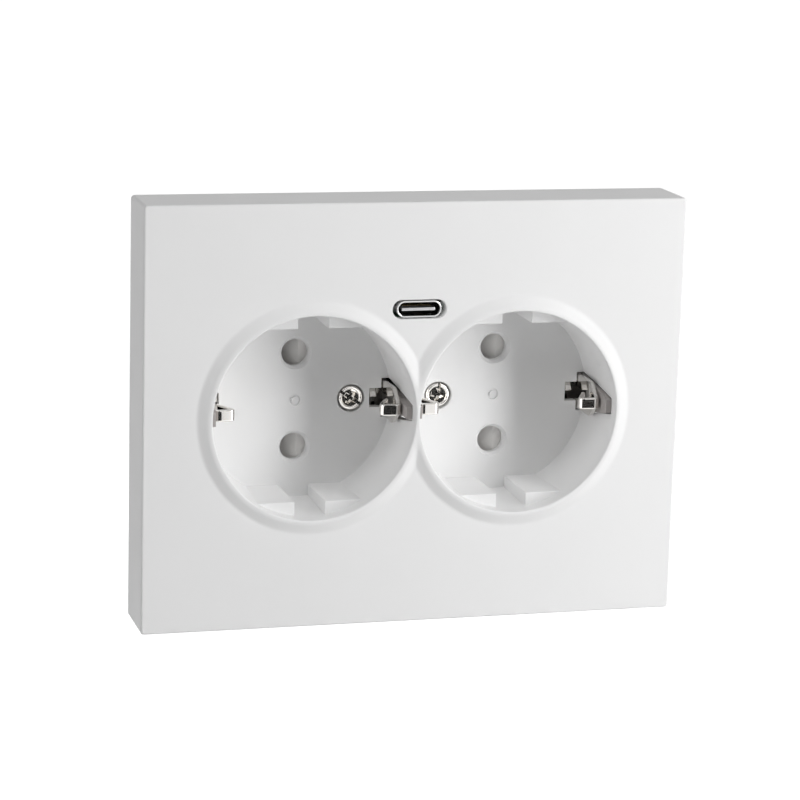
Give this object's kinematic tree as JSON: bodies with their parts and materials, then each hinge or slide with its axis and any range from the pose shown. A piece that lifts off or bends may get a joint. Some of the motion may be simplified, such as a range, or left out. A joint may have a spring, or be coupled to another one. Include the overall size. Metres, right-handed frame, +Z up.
{
  "type": "usb wall socket",
  "caption": "Flush twin side-earth wall socket with round wells, shuttered pin holes, spring earth clips and a small charging port above them",
  "frame": {"origin": "middle of the wall fixing pattern, on the wall surface", "axes": "+X to the right for a user who faces the socket, +Y into the wall, +Z up"},
  "size_m": [0.108, 0.0532, 0.0834],
  "materials": {
    "white_shell": "glossy moulded white",
    "bright_nickel": "bright nickel plate",
    "brass": "stamped brass",
    "grey_slider": "satin pinkish grey",
    "grey_base": "satin pinkish grey",
    "spring_steel": "drawn steel wire",
    "steel_shell": "drawn stainless steel",
    "dark_insulator": "black moulded",
    "circuit_board": "green solder mask",
    "zinc_steel": "zinc-plated sheet",
    "ferrite": "dull dark ferrite",
    "coil_tape": "yellow winding tape",
    "capacitor_case": "moulded blue case"
  },
  "bodies": {
    "housing": {"front_cover": "white_shell", "cover_screws": "bright_nickel", "earth_bracket_left": "bright_nickel", "earth_bracket_right": "bright_nickel", "earth_bar": "brass", "shutter_cage_left": "grey_base", "shutter_cage_right": "grey_base", "shutter_springs_left": "spring_steel", "shutter_springs_right": "spring_steel", "usb_shell": "steel_shell", "usb_tongue": "dark_insulator", "usb_board": "circuit_board", "mechanism_base": "grey_base", "support_frame": "zinc_steel", "live_bar": "brass", "neutral_bar": "brass", "terminal_clamps": "zinc_steel", "terminal_springs": "spring_steel", "charger_board": "circuit_board", "transformer_core": "ferrite", "transformer_coil": "coil_tape", "capacitors": "capacitor_case", "choke": "ferrite", "control_chips": "dark_insulator", "rear_cover": "grey_base"},
    "shutter_left": {"shutter_left": "grey_slider"},
    "shutter_right": {"shutter_right": "grey_slider"}
  },
  "joints": [
    {"name": "shutter_slide_left", "type": "slide", "parent": "housing", "child": "shutter_left", "axis": [1, 0, 0], "range_m": [0, 0.0066], "stiffness_N_per_m": 120, "springref_m": -0.003, "deforming": ["shutter_springs_left"]},
    {"name": "shutter_slide_right", "type": "slide", "parent": "housing", "child": "shutter_right", "axis": [1, 0, 0], "range_m": [0, 0.0066], "stiffness_N_per_m": 120, "springref_m": -0.003, "deforming": ["shutter_springs_right"]}
  ]
}
